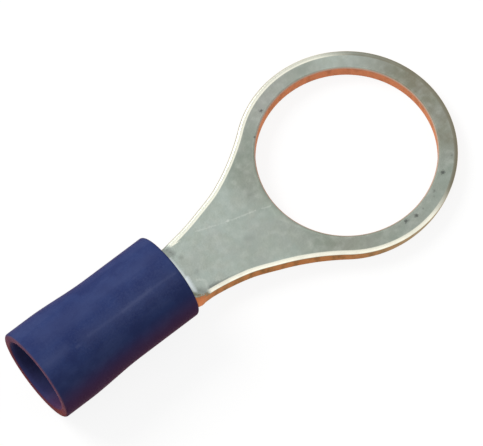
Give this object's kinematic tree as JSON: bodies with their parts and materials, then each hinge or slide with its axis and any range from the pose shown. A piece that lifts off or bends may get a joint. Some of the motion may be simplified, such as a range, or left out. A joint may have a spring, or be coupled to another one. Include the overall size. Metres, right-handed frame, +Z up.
{
  "type": "insulated ring terminal",
  "caption": "Crimp ring terminal stamped from tinned copper sheet, with a rolled barrel in a blue vinyl insulating sleeve that flares at the wire entry.",
  "frame": {"origin": "centre of the stud hole on the underside of the flat ring", "axes": "+X along the terminal to the tip of the ring, the wire comes in from -X; +Z up along the stud hole; +Y completes the right-handed frame"},
  "size_m": [0.029, 0.0128, 0.0057],
  "materials": {
    "tinned_copper": "dull tin plate, bare copper on the sheared edges",
    "blue_vinyl": "soft satin vinyl"
  },
  "bodies": {
    "root": {"ring_and_barrel": "tinned_copper", "insulating_sleeve": "blue_vinyl"}
  },
  "joints": []
}
